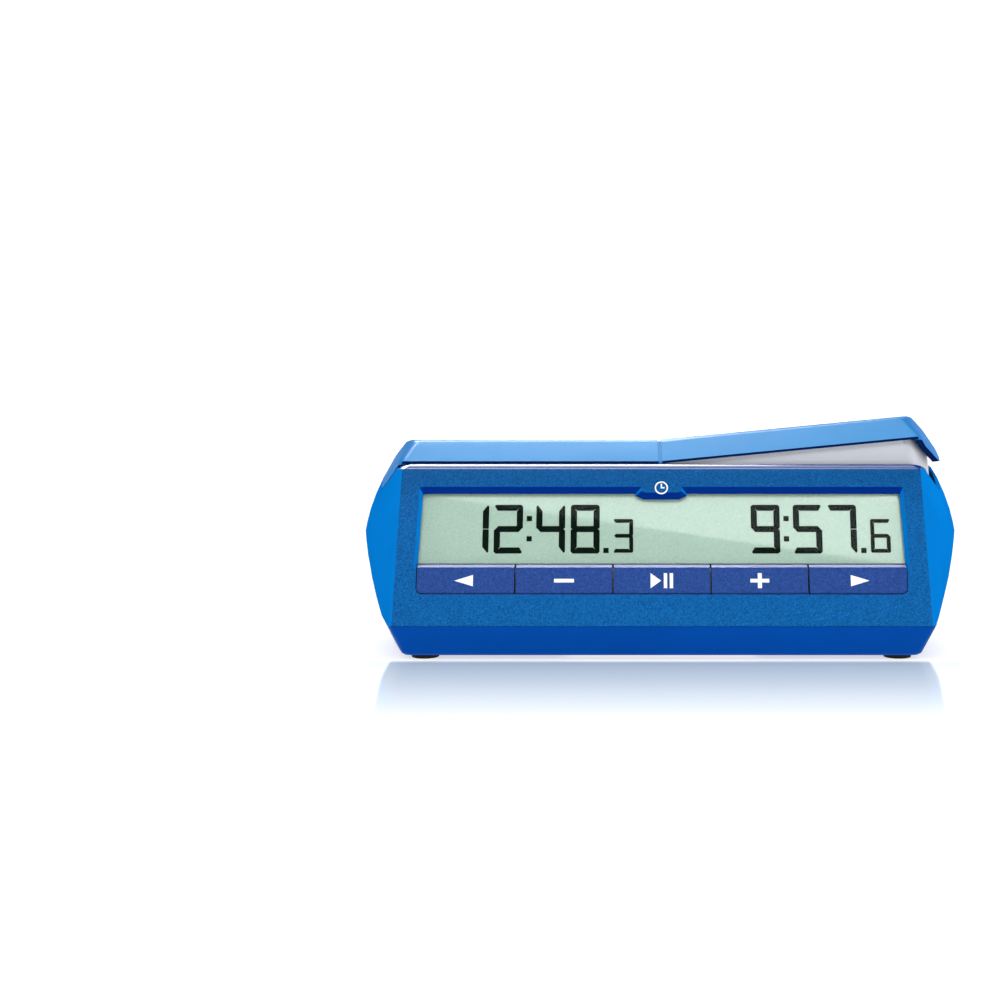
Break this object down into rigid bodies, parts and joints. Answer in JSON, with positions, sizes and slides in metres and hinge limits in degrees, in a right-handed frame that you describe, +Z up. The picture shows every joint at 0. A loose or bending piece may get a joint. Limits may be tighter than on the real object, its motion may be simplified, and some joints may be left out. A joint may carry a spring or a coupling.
{
  "type": "chess clock",
  "caption": "Digital chess clock: tapered wide housing, rocking lever bar on top, wide display in the sloping front and a row of push keys under it.",
  "frame": {"origin": "centre of the clock's footprint, on the table under the feet", "axes": "+X to the right along the clock's width, +Y from the display side to the back, +Z up"},
  "size_m": [0.2298, 0.062, 0.0901],
  "materials": {
    "housing_blue": "moulded plastic, fine sparkle texture on the front, satin elsewhere",
    "base_blue": "smooth satin plastic",
    "lever_blue": "smooth satin plastic",
    "key_blue": "fine-textured plastic",
    "lever_white": "smooth satin plastic",
    "black_plastic": "moulded plastic",
    "foot_rubber": "matt rubber",
    "grey_silicone": "matt silicone rubber",
    "board_green": "solder-masked laminate",
    "display_green": "liquid-crystal glass with a pale reflector",
    "window_clear": "clear acrylic",
    "label_silver": "printed foil label",
    "cell_wrap": "plastic-wrapped dry cell",
    "steel": "bright steel",
    "brass": "plated brass"
  },
  "bodies": {
    "housing": {"base_housing": "base_blue", "battery_contact": "brass", "battery_spring": "steel", "board_screw_left_1": "steel", "board_screw_left_2": "steel", "board_screw_right_1": "steel", "board_screw_right_2": "steel", "buzzer": "black_plastic", "case_screw_front_left": "steel", "case_screw_front_right": "steel", "case_screw_rear_left": "steel", "case_screw_rear_right": "steel", "cell_left": "cell_wrap", "cell_right": "cell_wrap", "controller_chip": "black_plastic", "display_connector_left": "grey_silicone", "display_connector_right": "grey_silicone", "display_frame": "black_plastic", "display_glass": "display_green", "display_window": "window_clear", "foot_front_left": "foot_rubber", "foot_front_right": "foot_rubber", "foot_rear_left": "foot_rubber", "foot_rear_right": "foot_rubber", "key_membrane": "grey_silicone", "label_plate": "label_silver", "lever_axle": "steel", "lever_detent_spring": "steel", "lever_sensor_left": "black_plastic", "lever_sensor_right": "black_plastic", "main_board": "board_green", "power_switch": "black_plastic", "quartz_crystal": "steel", "upper_housing": "housing_blue"},
    "lever": {"lever_cover": "lever_blue", "lever_core": "lever_white", "lever_magnet_left": "steel", "lever_magnet_right": "steel"},
    "back_key": {"button_back": "key_blue"},
    "minus_key": {"button_minus": "key_blue"},
    "start_key": {"button_start": "key_blue"},
    "plus_key": {"button_plus": "key_blue"},
    "forward_key": {"button_forward": "key_blue"},
    "battery_door": {"battery_lid": "base_blue"},
    "power_slide": {"power_slider": "black_plastic"}
  },
  "joints": [
    {"name": "lever_rock", "type": "hinge", "parent": "housing", "child": "lever", "pos_m": [0, 0, 0.068], "axis": [0, 1, 0], "range_deg": [0, 5.5]},
    {"name": "back_key_press", "type": "slide", "parent": "housing", "child": "back_key", "axis": [0, 0.9441, -0.3297], "range_m": [0, 0.0009], "stiffness_N_per_m": 800},
    {"name": "minus_key_press", "type": "slide", "parent": "housing", "child": "minus_key", "axis": [0, 0.9441, -0.3297], "range_m": [0, 0.0009], "stiffness_N_per_m": 800},
    {"name": "start_key_press", "type": "slide", "parent": "housing", "child": "start_key", "axis": [0, 0.9441, -0.3297], "range_m": [0, 0.0009], "stiffness_N_per_m": 800},
    {"name": "plus_key_press", "type": "slide", "parent": "housing", "child": "plus_key", "axis": [0, 0.9441, -0.3297], "range_m": [0, 0.0009], "stiffness_N_per_m": 800},
    {"name": "forward_key_press", "type": "slide", "parent": "housing", "child": "forward_key", "axis": [0, 0.9441, -0.3297], "range_m": [0, 0.0009], "stiffness_N_per_m": 800},
    {"name": "battery_door_slide", "type": "slide", "parent": "housing", "child": "battery_door", "axis": [0, 1, 0], "range_m": [0, 0.024]},
    {"name": "power_slide_throw", "type": "slide", "parent": "housing", "child": "power_slide", "axis": [1, 0, 0], "range_m": [0, 0.0034]}
  ]
}
